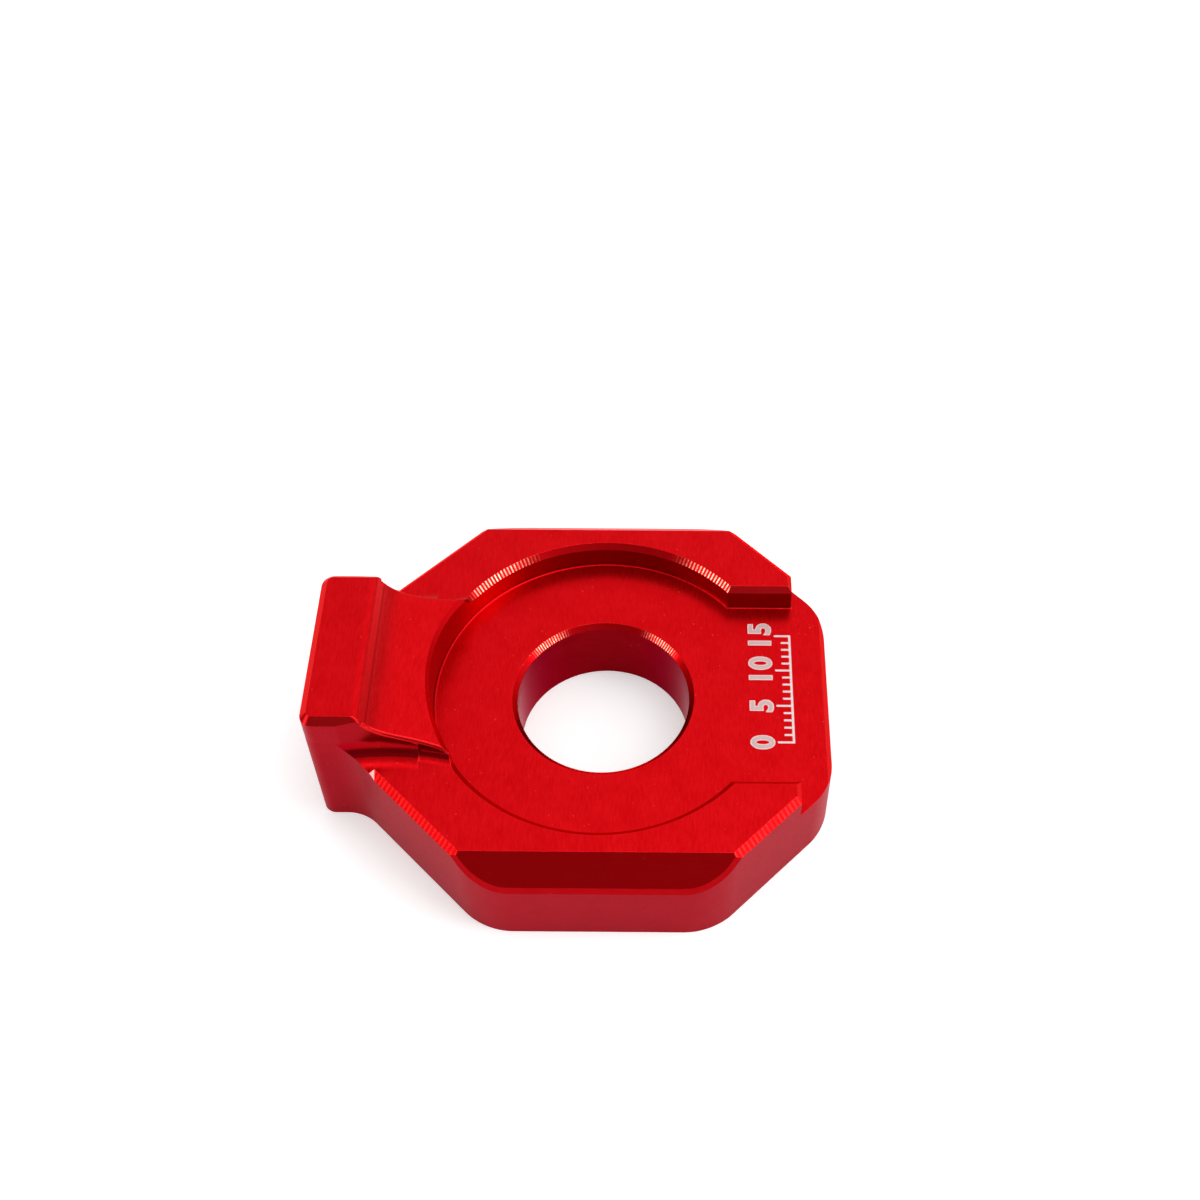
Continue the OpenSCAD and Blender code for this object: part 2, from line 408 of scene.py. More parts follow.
def bar_stock(sizes, finish):
    """The outline of the block, at the full height and a cut more, with its upright edges rounded."""
    half_w, half_l, boss_y = sizes.guide_w / 2, sizes.guide_l / 2, sizes.boss_w / 2
    root_x = root_place(sizes)
    end_y = half_w - (sizes.plain_end - half_l)
    block = add_bar(
        "axle_block_milled", (-root_x, -half_w, 0), (sizes.plain_end, half_w, sizes.boss_h + CUT)
    )
    for x, leg in ((-root_x, half_w - boss_y), (sizes.plain_end, half_w - end_y)):
        break_edges(block, is_upright_at(x, half_w), leg)

    # The boss grows out of the end between the two left diagonals
    bpy.ops.object.mode_set(mode="EDIT")
    bpy.ops.mesh.select_mode(type="FACE")
    bpy.ops.mesh.select_all(action="DESELECT")
    mesh = bmesh.from_edit_mesh(block.data)
    for face in mesh.faces:
        face.select_set(near(face.calc_center_median().x, -root_x))
    bmesh.update_edit_mesh(block.data)
    bpy.ops.mesh.extrude_region_move(
        TRANSFORM_OT_translate={"value": (root_x - sizes.boss_end, 0, 0)}
    )
    bpy.ops.object.mode_set(mode="OBJECT")
    at_root = lies_at(x=-root_x)
    select_edges(block, lambda edge: at_root(edge) and is_level(edge))
    bpy.ops.mesh.dissolve_edges(use_verts=False)
    bpy.ops.object.mode_set(mode="OBJECT")

    for x, y in ((sizes.plain_end, end_y), (half_l, half_w), (-half_l, half_w)):
        round_edges(block, is_upright_at(x, y), sizes.corner_r, DIAGONAL, 2 * EDGE_STEPS)
    round_edges(block, is_upright_at(-root_x, boss_y), sizes.root_r, DIAGONAL)
    round_edges(block, is_upright_at(-sizes.boss_end, boss_y), sizes.boss_r, SQUARE)
    # Slots for the walls' and cutter sides' painted shade, and for the run-outs' painted glint
    for name in ("wall", "side", "bright"):
        block.data.materials.append(finish[name])
    return block


def edge_cutter(name, start, end, inward, width, height):
    """A triangular cutter along a level edge. It takes width off the top and height off the side."""
    start, end, inward, up = Vector(start), Vector(end), Vector(inward), Vector((0, 0, 1))
    rise = CUT * height / width
    corners = (
        start - inward * CUT - up * (height + rise),
        start + inward * (width + CUT) + up * rise,
        start - inward * CUT + up * rise,
    )
    return add_prism(name, corners, end - start)


def rim_cutter(name, radius, width, z):
    """A conical cutter that breaks the rim of a round hollow."""
    return add_round(name, radius - CUT, z - width - CUT, z + CUT, radius + width + CUT)


def ridge_profile(sizes):
    """Where the boss's top would turn down if it had no shoulder, and where drop and ramp would meet."""
    shoulder_x = sizes.shoulder_r * math.tan(sizes.drop_a / 2) + sizes.boss_top_l - sizes.boss_end
    seat_r, ramp_z = sizes.seat_d / 2, sizes.plate_h + sizes.ramp_h
    drop, ramp = math.tan(sizes.drop_a), math.tan(sizes.ramp_a)
    knee_x = (sizes.boss_h - ramp_z + shoulder_x * drop + seat_r * ramp) / (drop - ramp)
    return shoulder_x, knee_x


def ramp_height(sizes, x):
    """Height of the ramp at x."""
    return sizes.plate_h + sizes.ramp_h - (x + sizes.seat_d / 2) * math.tan(sizes.ramp_a)


def form_cutter(sizes):
    """Mills the boss's top and the ridge behind it in one pass, with the shoulder and the hollow rounded."""
    shoulder_x, knee_x = ridge_profile(sizes)
    y, last_x = -sizes.boss_w / 2 - sizes.foot_r, -sizes.seat_d / 4
    profile = (
        (-sizes.boss_end - CUT, sizes.boss_h),
        (shoulder_x, sizes.boss_h),
        (knee_x, ramp_height(sizes, knee_x)),
        (last_x, ramp_height(sizes, last_x)),
        (last_x, REACH),
        (-sizes.boss_end - CUT, REACH),
    )
    cutter = add_prism("form_cutter", [(x, y, z) for x, z in profile], (0, -2 * y, 0))
    round_edges(cutter, lies_at(x=shoulder_x), sizes.shoulder_r, sizes.drop_a)
    round_edges(cutter, lies_at(x=knee_x), sizes.hollow_r, sizes.drop_a - sizes.ramp_a, 3 * EDGE_STEPS)
    return cutter


def side_cutters(sizes, side):
    """The three passes along one side of boss and ridge, each with a rounded nose for the foot fillet."""
    z, wall, far = sizes.plate_h, side * sizes.boss_w / 2, side * REACH
    straight = add_bar(
        "straight_pass",
        (-sizes.boss_end - CUT, min(wall, far), z),
        (-sizes.waist_x, max(wall, far), REACH),
    )
    round_edges(straight, lies_at(y=abs(wall), z=z), sizes.foot_r, SQUARE)
    centre = (-sizes.waist_x, side * (sizes.waist_w / 2 + sizes.waist_r))
    waist = add_round("waist_pass", sizes.waist_r, z, REACH, centre=centre)
    round_edges(waist, lies_at(z=z), sizes.foot_r, SQUARE)
    relief = add_round("relief_pass", sizes.waist_r, z, REACH, centre=centre)
    round_edges(relief, lies_at(z=z), sizes.relief_r, SQUARE)
    edit_all()
    bpy.ops.mesh.bisect(
        plane_co=(-sizes.relief_x, 0, 0), plane_no=(1, 0, 0), clear_inner=True, use_fill=True
    )
    bpy.ops.object.mode_set(mode="OBJECT")
    return straight, waist, relief


def seat_cutters(sizes):
    """Cutters for seat, slot and shelf, each with a small nose radius that leaves a fillet on the floor."""
    z, slot_y = sizes.seat_z, sizes.slot_w / 2
    seat = add_round("seat_cutter", sizes.seat_d / 2, z, REACH)
    slot = add_bar("slot_cutter", (0, -slot_y, z), (REACH, slot_y, REACH))
    shelf = add_bar("shelf_cutter", (sizes.step_x, -REACH, z), (REACH, REACH, REACH))
    along_slot = lies_at(y=slot_y, z=z)
    for cutter, wanted in (
        (seat, lies_at(z=z)),
        (slot, lambda edge: along_slot(edge) and near(edge.verts[0].co.y, edge.verts[1].co.y)),
        (shelf, lies_at(x=sizes.step_x, z=z)),
    ):
        round_edges(cutter, wanted, sizes.seat_fillet, SQUARE, FILLET_STEPS)
    return seat, slot, shelf


def edges_between(piece, first, second):
    """A test for the edges where one finish meets another."""
    names = [slot.material.name for slot in piece.material_slots]
    pair = {first.name, second.name}

    def wanted(edge):
        touching = {names[face.material_index] for face in edge.link_faces}
        return len(edge.link_faces) == 2 and touching == pair

    return wanted


class MillBlock(bpy.types.Operator):
    """Mills the block from bar and anodises it"""

    bl_idname = "axle_block.mill"
    bl_label = "Mill the block"

    def execute(self, context):
        sizes = context.scene.block_sizes
        finish = finishes(context.scene.block_finish)
        block = bar_stock(sizes, finish)

        # The plate is cleared from inside the seat on, where the ramp has come down to it
        clear_x = -0.012
        clearing = add_bar("clearing", (clear_x, -REACH, sizes.plate_h), (REACH, REACH, REACH))
        cut_away(block, finish["plate"], clearing)
        cut_away(block, finish["boss"], form_cutter(sizes))
        for side in SIDES:
            cut_away(block, finish["plate"], *side_cutters(sizes, side))

        cut_away(block, finish["seat"], *seat_cutters(sizes))
        cut_away(block, finish["bore"], add_round("bore_cutter", sizes.bore_d / 2, -CUT, REACH))
        cut_away(block, finish["lead_in"], *lead_cutters(sizes))
        clean(block)
        break_lead_edge(block, sizes, finish)
        cut_away(block, finish["diagonal"], *diagonal_edge_cutters(sizes))
        cut_away(block, finish["edge"], *straight_edge_cutters(sizes), boss_edge_cutter(sizes))
        clean(block)
        bore_rim = rim_cutter("bore_rim", sizes.bore_d / 2, sizes.bore_chamfer, sizes.seat_z)
        cut_away(block, finish["rim"], bore_rim, seat_rim_cutter(sizes))
        for side in SIDES:
            cut_away(block, finish["edge"], ridge_edge_cutter(sizes, side))
        clean(block)
        tell_sides(block, sizes, finish)
        bpy.ops.object.shade_smooth_by_angle(angle=math.radians(20))
        bpy.ops.object.modifier_add(type="WEIGHTED_NORMAL")
        block.modifiers[-1].keep_sharp = True
        bpy.ops.object.modifier_apply(modifier=block.modifiers[-1].name)

        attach(block, "root")
        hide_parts("axle_block")
        return {"FINISHED"}


def tell_sides(block, sizes, finish):
    """Gives steep faces of the cuts the finish of a cutter's side or a wall, both darker copies of the red
    as painted shade, and the run-outs theirs, a pale colour as a painted glint.
    """
    steep, faces_seat = 0.8, 0.3
    slots = {name: block.material_slots.find(finish[name].name) for name in finish}
    # Faces steeper than this get a darker red as painted shade, fillets too up to their middle
    for face in block.data.polygons:
        if face.material_index in (slots["plate"], slots["seat"]) and face.normal.z < steep:
            on_boss = near(abs(face.center.y), sizes.boss_w / 2) and face.center.x < 0
            face.material_index = slots["wall" if on_boss else "side"]
        # Run-out facets that face the right-hand lamp get the pale colour as a painted glint
        if face.material_index == slots["diagonal"] and face.normal.x > faces_seat and face.center.x < 0:
            face.material_index = slots["bright"]


def lead_cutters(sizes):
    """Cutters for the lead-in along each guide flat."""
    y, z = sizes.guide_w / 2, sizes.plate_h
    return [
        edge_cutter(
            "lead_cutter",
            (-REACH, side * y, z),
            (REACH, side * y, z),
            (0, -side, 0),
            sizes.lead_w,
            sizes.lead_h,
        )
        for side in SIDES
    ]


def break_lead_edge(block, sizes, finish):
    """Breaks the lower edge of each lead-in, round the corners too."""
    lower = edges_between(block, finish["lead_in"], finish["wall"])
    # The strip takes the cutter side's darker red, painted shade
    break_edges(block, lower, sizes.lead_edge, block.material_slots.find(finish["side"].name))


def clean(block):
    """Merges what the cuts left double, and joins faces that lie in one plane and share a finish."""
    take(block)
    edit_all()
    bpy.ops.mesh.remove_doubles(threshold=5e-6)
    bpy.ops.mesh.dissolve_limited(angle_limit=math.radians(0.05), delimit={"MATERIAL"})
    bpy.ops.object.mode_set(mode="OBJECT")


def rim_height(sizes, x, y):
    """Height of the metal beside the seat: the plate, the foot fillet of the ridge, or its ramp."""
    axis_y = sizes.waist_w / 2 + sizes.waist_r
    inside = sizes.waist_r - math.hypot(x + sizes.waist_x, abs(y) - axis_y)
    if x > -sizes.seat_d / 4 or inside >= sizes.relief_r:
        return sizes.plate_h
    if inside <= 0:
        return ramp_height(sizes, x)
    climb = sizes.relief_r - math.sqrt(sizes.relief_r**2 - (sizes.relief_r - inside) ** 2)
    return min(sizes.plate_h + climb, ramp_height(sizes, x))


def seat_rim_cutter(sizes):
    """A cutter that follows the rim of the seat at 45 degrees, and climbs the ridge with it."""
    radius, sections = sizes.seat_d / 2, []
    for step in range(2 * ROUND + 1):
        turn = math.pi * step / ROUND
        x, y = radius * math.cos(turn), radius * math.sin(turn)
        z = rim_height(sizes, x, y)
        lifted = (z - sizes.plate_h) / sizes.ramp_h
        width = sizes.seat_edge + min(lifted, 1) * (sizes.ramp_edge - sizes.seat_edge)
        outward = Vector((x, y, 0)) / radius
        edge, up = Vector((x, y, z)), Vector((0, 0, CUT))
        sections.append(
            (
                edge - outward * CUT - up - Vector((0, 0, width)),
                edge + outward * (CUT + width) + up,
                edge - outward * CUT + up,
            )
        )
    return add_loft("seat_rim", sections)


def boss_edge_cutter(sizes):
    """A cutter that follows the edge of the boss's top along both sides and round its two corners."""
    boss_y, radius, width = sizes.boss_w / 2, sizes.boss_r, sizes.boss_edge
    path = [(Vector((-sizes.waist_x, -boss_y, 0)), Vector((0, -1, 0)))]
    for side, start in ((-1, 270), (1, 180)):
        centre = Vector((radius - sizes.boss_end, side * (boss_y - radius), 0))
        for step in range(EDGE_STEPS + 1):
            turn = math.radians(start - 90 * step / EDGE_STEPS)
            outward = Vector((math.cos(turn), math.sin(turn), 0))
            path.append((centre + outward * radius, outward))
    path.append((Vector((-sizes.waist_x, boss_y, 0)), Vector((0, 1, 0))))
    beyond, up, sections = (radius - width) / 2, Vector((0, 0, 1)), []
    for foot, outward in path:
        edge = foot + up * sizes.boss_h
        sections.append(
            (
                edge + outward * beyond - up * (width + beyond),
                edge - outward * (width + beyond) + up * beyond,
                edge + outward * beyond + up * beyond,
            )
        )
    return add_loft("boss_edge", sections)


def ridge_side_y(sizes, x):
    """Half of the ridge's width at x, and how much that grows along x."""
    away = -x - sizes.waist_x
    axis_y = sizes.waist_w / 2 + sizes.waist_r
    reach = math.sqrt(sizes.waist_r**2 - away**2)
    if away > 0 and axis_y - reach > sizes.boss_w / 2:
        return sizes.boss_w / 2, 0.0
    return axis_y - reach, -away / reach


def ridge_places(sizes):
    """Places down the ridge, each as x, z and the slope there: shoulder, drop, hollow and ramp."""
    shoulder_x, knee_x = ridge_profile(sizes)
    drop_a, ramp_a, shoulder_r, hollow_r = sizes.drop_a, sizes.ramp_a, sizes.shoulder_r, sizes.hollow_r
    arc_x = shoulder_x - shoulder_r * math.tan(drop_a / 2)
    places = []
    for step in range(EDGE_STEPS + 1):
        slope = drop_a * step / EDGE_STEPS
        places.append(
            (arc_x + shoulder_r * math.sin(slope), sizes.boss_h - shoulder_r * (1 - math.cos(slope)), slope)
        )
    # Two places close together, just above and below where the boss's edge break ends
    for depth in (sizes.boss_edge - CUT / 10, sizes.boss_edge + CUT / 10):
        places.append((shoulder_x + depth / math.tan(drop_a), sizes.boss_h - depth, drop_a))
    reach, knee_z = hollow_r * math.tan((drop_a - ramp_a) / 2), ramp_height(sizes, knee_x)
    drop_end = Vector((knee_x - reach * math.cos(drop_a), knee_z + reach * math.sin(drop_a)))
    hollow = drop_end + hollow_r * Vector((math.sin(drop_a), math.cos(drop_a)))
    for step in range(3 * EDGE_STEPS + 1):
        slope = drop_a + (ramp_a - drop_a) * step / (3 * EDGE_STEPS)
        places.append((hollow.x - hollow_r * math.sin(slope), hollow.y - hollow_r * math.cos(slope), slope))
    # The cutter runs on into the room that the seat has cleared
    ramp_x, end_x = places[-1][0], -sizes.seat_d / 2 + 4 * CUT
    for step in range(1, EDGE_STEPS + 1):
        x = ramp_x + (end_x - ramp_x) * step / EDGE_STEPS
        places.append((x, ramp_height(sizes, x), ramp_a))
    return places


def ridge_edge_cutter(sizes, side):
    """A cutter that rounds one upper edge of the ridge, from the boss's top down to the seat."""
    sections, beyond = [], CUT / 3
    first_share, widening = 0.15, 4
    for index, (x, z, slope) in enumerate(ridge_places(sizes)):
        width = sizes.ridge_edge * max(first_share, min(1, index / widening))
        above = z - (sizes.boss_h - sizes.boss_edge)
        if above > 0:
            # Down to here the edge runs between the slope and the edge break of the boss
            y, growth = sizes.boss_w / 2 - above, math.sin(slope)
            turn = math.acos(math.cos(slope) / math.sqrt(2))
        else:
            y, growth = ridge_side_y(sizes, x)
            growth, turn = growth * math.cos(slope), SQUARE
        edge = Vector((x, side * y, z))
        along = Vector((math.cos(slope), side * growth, -math.sin(slope))).normalized()
        top = Vector((math.sin(slope), 0, math.cos(slope)))
        inward = along.cross(top).normalized() * side
        beside = top * math.cos(turn) - inward * math.sin(turn)
        middle = edge - width * (top - inward * math.tan(turn / 2))
        arc = []
        for step in range(BREAK_STEPS + 1):
            part = turn * step / BREAK_STEPS
            arc.append(middle + width * (top * math.cos(part) - inward * math.sin(part)))
        outer = (arc[-1] + beside * beyond, edge + (top + beside) * beyond)
        sections.append((arc[0] + top * beyond, *arc, *outer))
    return add_loft("ridge_edge", sections)


def diagonal_edge_cutters(sizes):
    """Cutters for the edge breaks along the four diagonals."""
    half_w, half_l, boss_y = sizes.guide_w / 2, sizes.guide_l / 2, sizes.boss_w / 2
    root_x = root_place(sizes)
    cutters = []
    for side in SIDES:
        for end in (-1, 1):
            # Each starts at its guide flat's corner. Those to the boss stop short of it
            along = Vector((end, -side, 0)).normalized()
            inward = Vector((-end, -side, 0)).normalized()
            start = Vector((end * half_l, side * half_w, sizes.plate_h)) - along * sizes.corner_r
            stop = start + along * 1.5 * REACH
            if end < 0:
                stop = Vector((-root_x, side * boss_y, sizes.plate_h)) - along * sizes.foot_r * math.sqrt(2)
            cutters.append(run_out_cutter("diagonal_edge", start, stop, inward, sizes.diagonal_edge))
    return cutters


def run_out_cutter(name, start, stop, inward, width):
    """A cutter along a level edge at 45 degrees, whose far end slopes up at 45 degrees too."""
    along, up = (stop - start).normalized(), Vector((0, 0, 1))
    low, high = -inward * CUT - up * (width + CUT), up * CUT
    sections = [
        (start + low, start + high + inward * (width + CUT), start + high - inward * CUT),
        (
            stop + low - along * (width + CUT),
            stop + high + along * CUT + inward * (width + CUT),
            stop + high + along * CUT - inward * CUT,
        ),
    ]
    return add_loft(name, sections)


def straight_edge_cutters(sizes):
    """Cutters for the edge breaks along the slot, the step and the plain end."""
    cutters = []
    slot_end, width = sizes.step_x + CUT, sizes.seat_edge
    for side in SIDES:
        y, z = side * sizes.slot_w / 2, sizes.plate_h
        cutters.append(edge_cutter("slot_edge", (0, y, z), (slot_end, y, z), (0, side, 0), width, width))
    for name, x, z, width in (
        ("step_edge", sizes.step_x, sizes.plate_h, sizes.step_edge),
        ("plain_end_edge", sizes.plain_end, sizes.seat_z, sizes.end_edge),
    ):
        cutters.append(edge_cutter(name, (x, -REACH, z), (x, REACH, z), (-1, 0, 0), width, width))
    return cutters


def feed(tree, node, inputs):
    """Feeds a node's inputs with values or with other nodes' outputs."""
    for key, value in inputs.items():
        if isinstance(value, bpy.types.NodeSocket):
            tree.links.new(value, node.inputs[key])
        else:
            node.inputs[key].default_value = value


def add_node(tree, kind, inputs=None, **settings):
    """Adds a node, sets it and feeds its inputs."""
    node = tree.nodes.new("ShaderNode" + kind)
    for key, value in settings.items():
        setattr(node, key, value)
    feed(tree, node, inputs or {})
    return node


def worked_out(tree, operation, first, second=0.0, third=0.0):
    """One step of arithmetic on numbers."""
    return add_node(tree, "Math", {0: first, 1: second, 2: third}, operation=operation).outputs[0]


def vector_worked_out(tree, operation, first, second=(0, 0, 0)):
    """One step of arithmetic on vectors. A length or a dot product comes out as a number."""
    node = add_node(tree, "VectorMath", {0: first, 1: second}, operation=operation)
    return node.outputs["Value" if operation in ("LENGTH", "DOT_PRODUCT") else "Vector"]


def coordinate(tree, vector, axis):
    """One coordinate of a vector."""
    return add_node(tree, "SeparateXYZ", {0: vector}).outputs[axis]


def place_in_mm(tree):
    """Where a point of the surface is, in millimetres from the bore axis on the bottom."""
    return vector_worked_out(tree, "MULTIPLY", add_node(tree, "TexCoord").outputs["Object"], (MM, MM, MM))


def spread(tree, value, low, high, to_low=0.0, to_high=1.0):
    """Spreads a value between two others, with soft ends."""
    inputs = {"Value": value, "From Min": low, "From Max": high, "To Min": to_low, "To Max": to_high}
    return add_node(tree, "MapRange", inputs, interpolation_type="SMOOTHSTEP").outputs["Result"]


def blend(tree, share, first, second):
    """Blends two colours. The node's inputs 6 and 7 and its output 2 are the ones for colours."""
    first, second = [
        value if isinstance(value, bpy.types.NodeSocket) else (*value, 1) for value in (first, second)
    ]
    return add_node(tree, "Mix", {0: share, 6: first, 7: second}, data_type="RGBA").outputs[2]


def grain(tree, place, lumps, detail=2.0, stretch=None):
    """Noise of so many lumps per millimetre, stretched where the tool left a lay."""
    where = vector_worked_out(tree, "MULTIPLY", place, stretch) if stretch else place
    inputs = {"Vector": where, "Scale": lumps, "Detail": detail, "Roughness": 0.6}
    return add_node(tree, "TexNoise", inputs).outputs[0]


def new_material(name):
    """A new material, with its node tree and its shader."""
    material = bpy.data.materials.new(name)
    material.use_nodes = True
    return material, material.node_tree, material.node_tree.nodes["Principled BSDF"]


def finishes(look):
    """The finish of each milled surface. A lay is how the tool's marks are stretched along x, y and z."""
    along_y, along_x, around = (1, 0.14, 1), (0.08, 1, 1), (0.05, 0.05, 1)
    red, fine, tint, wall_tint = look.red, look.fine, look.tint, look.wall_tint
    even, fairly_even = 0.3, 0.5
    return {
        # Outer walls: a darker copy of the red, painted shade
        "wall": anodised(look, "matte_wall", look.wall_red, look.matte, tint=wall_tint, extra=second_pass),
        "plate": anodised(look, "milled_plate", red, look.milled, along_y),
        "seat": anodised(look, "milled_seat", red, look.milled, along_y),
        # The boss carries a painted shade line along its crease
        "boss": anodised(look, "milled_boss", red, look.milled, along_y, extra=crease),
        # Steep cut faces: a darker copy of the red, painted shade
        "side": anodised(
            look, "cutter_side_shaded", look.side_red, fine, along_x, fairly_even, wall_tint, extra=paler_end
        ),
        # Bore: a dark copy of the red, painted shade
        "bore": anodised(look, "bored_wall", look.bore_red, fine, around, tint=look.bore_tint),
        "lead_in": anodised(look, "milled_lead_in", red, fine, along_x, even, tint),
        "edge": anodised(look, "broken_edge", red, fine, along_x, even, tint, gloss=0.1),
        # Diagonals and rims: chatter with painted highlights on its crests
        "diagonal": anodised(look, "chattered_edge", red, fine, tint=tint, extra=straight_chatter),
        # Run-outs: a pale red painted as a glint
        "bright": anodised(look, "painted_glint_run_out", look.bright_red, fine),
        "rim": anodised(look, "broken_rim", red, fine, tint=tint, extra=round_chatter),
    }


def anodised(look, name, base, rough, lay=None, unevenness=1.0, tint=(1, 1, 1), gloss=0.0, extra=None):
    """Red anodised aluminium: dyed oxide over a milled, bored or blasted surface."""
    material, tree, shader = new_material(name)
    smoothest, roughest = rough * (1 - 0.1 * unevenness), rough * (1 + 0.14 * unevenness)
    milled_depth, blasted_depth, edge_r = 0.0000008 * unevenness, 0.000003, 0.00009
    marks_per_mm, clouds_per_mm = 6.0, 0.35
    place = place_in_mm(tree)
    marks = grain(tree, place, marks_per_mm, 3.0, lay)
    surface = types.SimpleNamespace(
        place=place,
        base=Vector(base),
        cloud=grain(tree, place, clouds_per_mm),
        rough=spread(tree, marks, 0.25, 0.75, smoothest, roughest),
        height=marks,
        depth=milled_depth if lay else blasted_depth,
    )
    surface.dye = dusty(tree, look, place, dyed(tree, surface, marks, unevenness))
    rounded = add_node(tree, "Bevel", {"Radius": edge_r}, samples=6).outputs["Normal"]
    surface.dye = worn(tree, look, place, rounded, surface.dye)
    if extra:
        extra(tree, look, surface)
    bump = {"Strength": 1.0, "Distance": surface.depth, "Height": surface.height, "Normal": rounded}
    sockets = {
        "Metallic": 1,
        "Specular Tint": (*tint, 1),
        "Coat Weight": gloss,
        "Coat Roughness": 0.15,
        "Coat IOR": 1.6,
        "Base Color": surface.dye,
        "Roughness": surface.rough,
        "Normal": add_node(tree, "Bump", bump).outputs["Normal"],
    }
    feed(tree, shader, sockets)
    return material


def dyed(tree, surface, marks, unevenness):
    """The dye, which took a little unevenly along the tool's marks and in wide clouds."""
    darker, lighter, bloom = 0.09 * unevenness, 0.07 * unevenness, Vector((0, 0.002, 0.003))
    marks_share, clouds_share = 0.65, 0.35
    dark, light = surface.base * (1 - darker), surface.base * (1 + lighter) + bloom
    clouds = worked_out(tree, "MULTIPLY", surface.cloud, clouds_share)
    tone = worked_out(tree, "MULTIPLY_ADD", marks, marks_share, clouds)
    return blend(tree, spread(tree, tone, 0.3, 0.7), dark, light)


def dusty(tree, look, place, dye):
    """A few faint specks of dust on the dye."""
    specks_per_mm, speck_edge, speck_core, strength = 3.1, 0.76, 0.82, 0.22
    speck = spread(tree, grain(tree, place, specks_per_mm, 1.0), speck_edge, speck_core, 0.0, strength)
    return blend(tree, speck, dye, look.dust)


def worn(tree, look, place, rounded, dye):
    """The dye, worn paler in places along the edges, where the rounded surface turns off the flat one."""
    begins, full, patches_per_mm, least, most = 0.99, 0.90, 1.2, 0.05, 0.35
    flat = add_node(tree, "NewGeometry").outputs["Normal"]
    at_edge = spread(tree, vector_worked_out(tree, "DOT_PRODUCT", rounded, flat), begins, full)
    patches = spread(tree, grain(tree, place, patches_per_mm), 0.4, 0.7, least, most)
    return blend(tree, worked_out(tree, "MULTIPLY", at_edge, patches), dye, look.worn)


def second_pass(tree, look, surface):
    """The upper end of the boss was passed over once more, so it is smoother down to a faint line."""
    line_z, softness, wander, smoother = look.pass_z * MM, 0.2, 0.5, 0.12
    upper = worked_out(tree, "MULTIPLY_ADD", surface.cloud, wander, coordinate(tree, surface.place, "Z"))
    less = spread(tree, upper, line_z, line_z + softness, 0.0, smoother)
    surface.rough = worked_out(tree, "SUBTRACT", surface.rough, less)


def paler_end(tree, look, surface):
    """Towards the boss's end the cutter side's painted shade passes over into the wall's paler painted
    shade.
    """
    all_wall_x, all_side_x = -29.0, -23.5
    share = spread(tree, coordinate(tree, surface.place, "X"), all_wall_x, all_side_x)
    surface.dye = blend(tree, share, look.wall_red, surface.dye)


def crease(tree, look, surface):
    """Paints a fine dark line as shade where two passes of the form cutter meet."""
    # The line is painted shade: the base darkened to 55 percent
    line_edge, line_core, strength, dark = 0.13, 0.04, 0.8, surface.base * 0.55
    from_line = worked_out(tree, "ADD", coordinate(tree, surface.place, "X"), look.crease_x * MM)
    line = spread(tree, worked_out(tree, "ABSOLUTE", from_line), line_edge, line_core, 0.0, strength)
    surface.dye = blend(tree, line, surface.dye, dark)


def chattered(tree, surface, crests, crest_glint_colour):
    """Raises the crests of the tool's chatter, and paints them paler as a painted highlight, where they
    would catch the lamps.
    """
    crest_height, strength = 0.000008, 0.8
    surface.height, surface.depth = crests, crest_height
    share = worked_out(tree, "MULTIPLY", crests, strength)
    surface.dye = blend(tree, share, surface.dye, crest_glint_colour)


def straight_chatter(tree, look, surface):
    """The tool's marks along a diagonal edge, five in three millimetres, with painted highlights on their
    crests.
    """
    marks_per_mm = 1.65
    folded = vector_worked_out(tree, "ABSOLUTE", surface.place)
    across = worked_out(tree, "SUBTRACT", coordinate(tree, folded, "X"), coordinate(tree, folded, "Y"))
    turn = worked_out(tree, "MULTIPLY", across, marks_per_mm * math.tau / math.sqrt(2))
    wave = spread(tree, worked_out(tree, "SINE", turn), -0.1, 0.6)
    uneven = spread(tree, grain(tree, surface.place, 0.5), 0.35, 0.6, 0.45, 1.0)
    chattered(tree, surface, worked_out(tree, "MULTIPLY", wave, uneven), look.edge_crest)


def round_chatter(tree, look, surface):
    """The tool's marks round a rim, two or three to a millimetre. They and their painted highlights show
    only in two narrow sectors at the back, to both sides, where the side lamps would glint in them.
    """
    bore_marks, seat_marks, bore_reach = 190.0, 274.0, 15.0
    # The painted highlights sit 40 degrees to each side of the back, where the rims face the side lamps
    glint_turn, faint_from, full_within = math.radians(40), math.radians(17), math.radians(5)
    place = surface.place
    turn = worked_out(tree, "ARCTAN2", coordinate(tree, place, "Y"), coordinate(tree, place, "X"))
    away = vector_worked_out(tree, "LENGTH", vector_worked_out(tree, "MULTIPLY", place, (1, 1, 0)))
    is_seat = worked_out(tree, "GREATER_THAN", away, bore_reach)
    count = worked_out(tree, "MULTIPLY_ADD", is_seat, seat_marks - bore_marks, bore_marks)
    wave = spread(tree, worked_out(tree, "SINE", worked_out(tree, "MULTIPLY", turn, count)), 0.1, 0.7)
    from_back = worked_out(tree, "ABSOLUTE", worked_out(tree, "SUBTRACT", turn, math.radians(90)))
    off_glint_turn = worked_out(tree, "ABSOLUTE", worked_out(tree, "SUBTRACT", from_back, glint_turn))
    strength = spread(tree, off_glint_turn, faint_from, full_within)
    uneven = spread(tree, grain(tree, place, 1.6), 0.35, 0.65, 0.35, 1.0)
    crests = worked_out(tree, "MULTIPLY", worked_out(tree, "MULTIPLY", wave, uneven), strength)
    chattered(tree, surface, crests, look.rim_crest)


